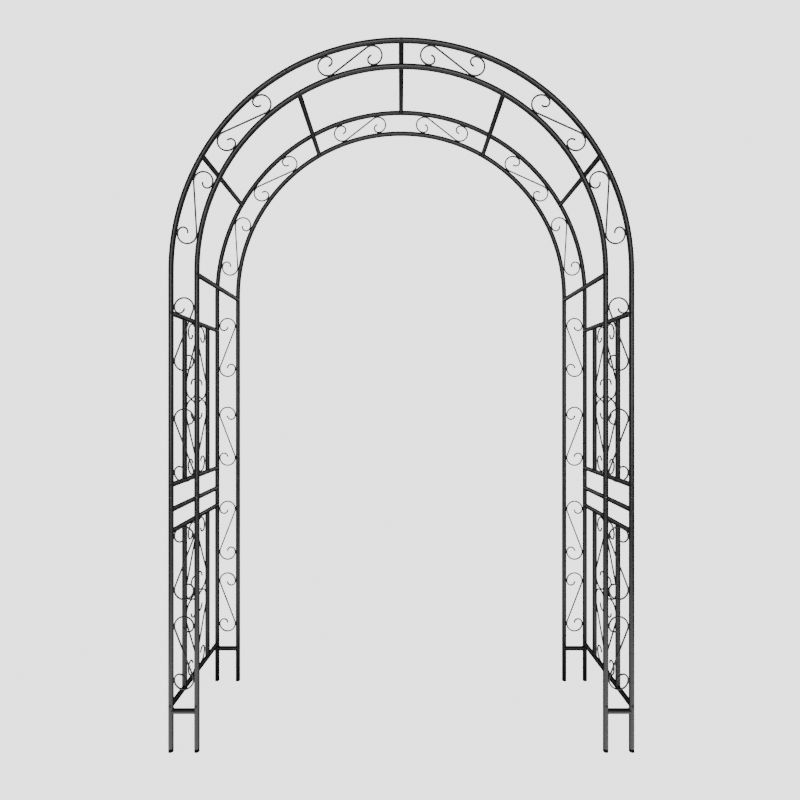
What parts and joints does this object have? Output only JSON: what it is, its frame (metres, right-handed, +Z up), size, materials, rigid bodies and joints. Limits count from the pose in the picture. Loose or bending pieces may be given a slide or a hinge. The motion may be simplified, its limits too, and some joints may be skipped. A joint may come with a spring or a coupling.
{
  "type": "trellis arch",
  "caption": "Free-standing round-topped metal garden arch of double tube frames joined by crossbars, with wire scrolls between the tubes, scroll side panels and ground stakes.",
  "frame": {"origin": "centre of the plan, level with the tips of the ground stakes", "axes": "+Z up, +X across the opening to the right as seen from the front, -Y towards the front"},
  "size_m": [1.436, 0.4108, 2.2],
  "materials": {
    "black_tube": "satin powder coat",
    "black_bar": "satin powder coat",
    "scroll_wire": "satin powder coat",
    "black_screw": "black oxide",
    "zinc_steel": "zinc plated"
  },
  "bodies": {
    "root": {"back_crown_inner_tube": "black_tube", "back_crown_outer_tube": "black_tube", "back_left_lower_inner_tube": "black_tube", "back_left_lower_outer_tube": "black_tube", "back_left_stake_tubes": "black_tube", "back_left_upper_inner_tube": "black_tube", "back_left_upper_outer_tube": "black_tube", "back_right_lower_inner_tube": "black_tube", "back_right_lower_outer_tube": "black_tube", "back_right_stake_tubes": "black_tube", "back_right_upper_inner_tube": "black_tube", "back_right_upper_outer_tube": "black_tube", "crossbar_bolts": "black_screw", "crossbars_on_inner_arch_tubes": "black_bar", "crossbars_on_outer_arch_tubes": "black_bar", "crown_joint_sleeves_inner": "zinc_steel", "crown_joint_sleeves_outer": "zinc_steel", "crown_scrolls": "scroll_wire", "front_crown_inner_tube": "black_tube", "front_crown_outer_tube": "black_tube", "front_left_lower_inner_tube": "black_tube", "front_left_lower_outer_tube": "black_tube", "front_left_stake_tubes": "black_tube", "front_left_upper_inner_tube": "black_tube", "front_left_upper_outer_tube": "black_tube", "front_right_lower_inner_tube": "black_tube", "front_right_lower_outer_tube": "black_tube", "front_right_stake_tubes": "black_tube", "front_right_upper_inner_tube": "black_tube", "front_right_upper_outer_tube": "black_tube", "haunch_scrolls": "scroll_wire", "joint_screws": "black_screw", "left_lower_leg_scrolls": "scroll_wire", "left_lower_panel_rails": "black_bar", "left_lower_panel_scrolls": "scroll_wire", "left_lower_panel_uprights": "black_bar", "left_upper_leg_scrolls": "scroll_wire", "left_upper_panel_rails": "black_bar", "left_upper_panel_scrolls": "scroll_wire", "left_upper_panel_uprights": "black_bar", "leg_joint_sleeves_inner": "zinc_steel", "leg_joint_sleeves_outer": "zinc_steel", "middle_crossbars": "black_bar", "right_lower_leg_scrolls": "scroll_wire", "right_lower_panel_rails": "black_bar", "right_lower_panel_scrolls": "scroll_wire", "right_lower_panel_uprights": "black_bar", "right_upper_leg_scrolls": "scroll_wire", "right_upper_panel_rails": "black_bar", "right_upper_panel_scrolls": "scroll_wire", "right_upper_panel_uprights": "black_bar", "shoulder_scrolls": "scroll_wire", "stake_bars": "black_tube", "stake_joint_sleeves": "zinc_steel", "threaded_inserts": "zinc_steel"}
  },
  "joints": []
}
